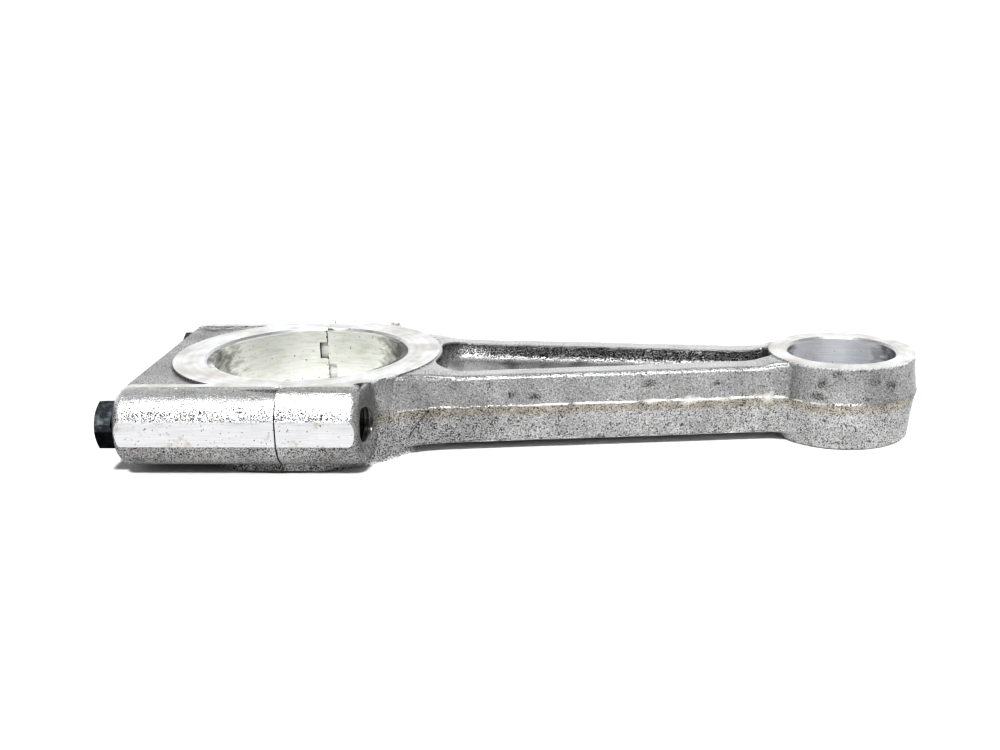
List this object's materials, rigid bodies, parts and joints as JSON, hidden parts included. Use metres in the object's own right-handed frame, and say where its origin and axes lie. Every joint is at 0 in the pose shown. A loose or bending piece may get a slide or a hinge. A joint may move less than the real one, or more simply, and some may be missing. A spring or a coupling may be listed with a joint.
{
  "type": "connecting rod",
  "caption": "Forged light-alloy connecting rod with a bolted big-end cap, split bearing shells, a pocketed I-section shank and a plain small-end bore.",
  "frame": {"origin": "centre of the crankpin bore at mid-thickness", "axes": "+Z along the crankpin bore, +X towards the small end, the cap is on the -X side"},
  "size_m": [0.2838, 0.1144, 0.03],
  "materials": {
    "forged_alloy": "as forged, with machined faces",
    "bearing_metal": "fine bored overlay on a steel back",
    "blackened_steel": "black oxide",
    "insert_steel": "bright drawn wire"
  },
  "bodies": {
    "rod": {"connecting_rod": "forged_alloy", "rod_bearing_shell": "bearing_metal", "near_thread_insert": "insert_steel", "far_thread_insert": "insert_steel"},
    "cap": {"bearing_cap": "forged_alloy", "cap_bearing_shell": "bearing_metal"},
    "near_bolt": {"near_cap_bolt": "blackened_steel"},
    "far_bolt": {"far_cap_bolt": "blackened_steel"}
  },
  "joints": [
    {"name": "cap_slide", "type": "slide", "parent": "rod", "child": "cap", "axis": [-1, 0, 0], "range_m": [0, 0.03]},
    {"name": "near_bolt_turn", "type": "hinge", "parent": "cap", "child": "near_bolt", "pos_m": [0, -0.048, 0.0025], "axis": [-1, 0, 0], "range_deg": [0, 7200]},
    {"name": "far_bolt_turn", "type": "hinge", "parent": "cap", "child": "far_bolt", "pos_m": [0, 0.048, 0.0025], "axis": [-1, 0, 0], "range_deg": [0, 7200]}
  ],
  "couplings": [
    {"joint": "near_bolt_turn", "follows": "cap_slide", "rad_per_m": 4188.8},
    {"joint": "far_bolt_turn", "follows": "cap_slide", "rad_per_m": 4188.8}
  ]
}
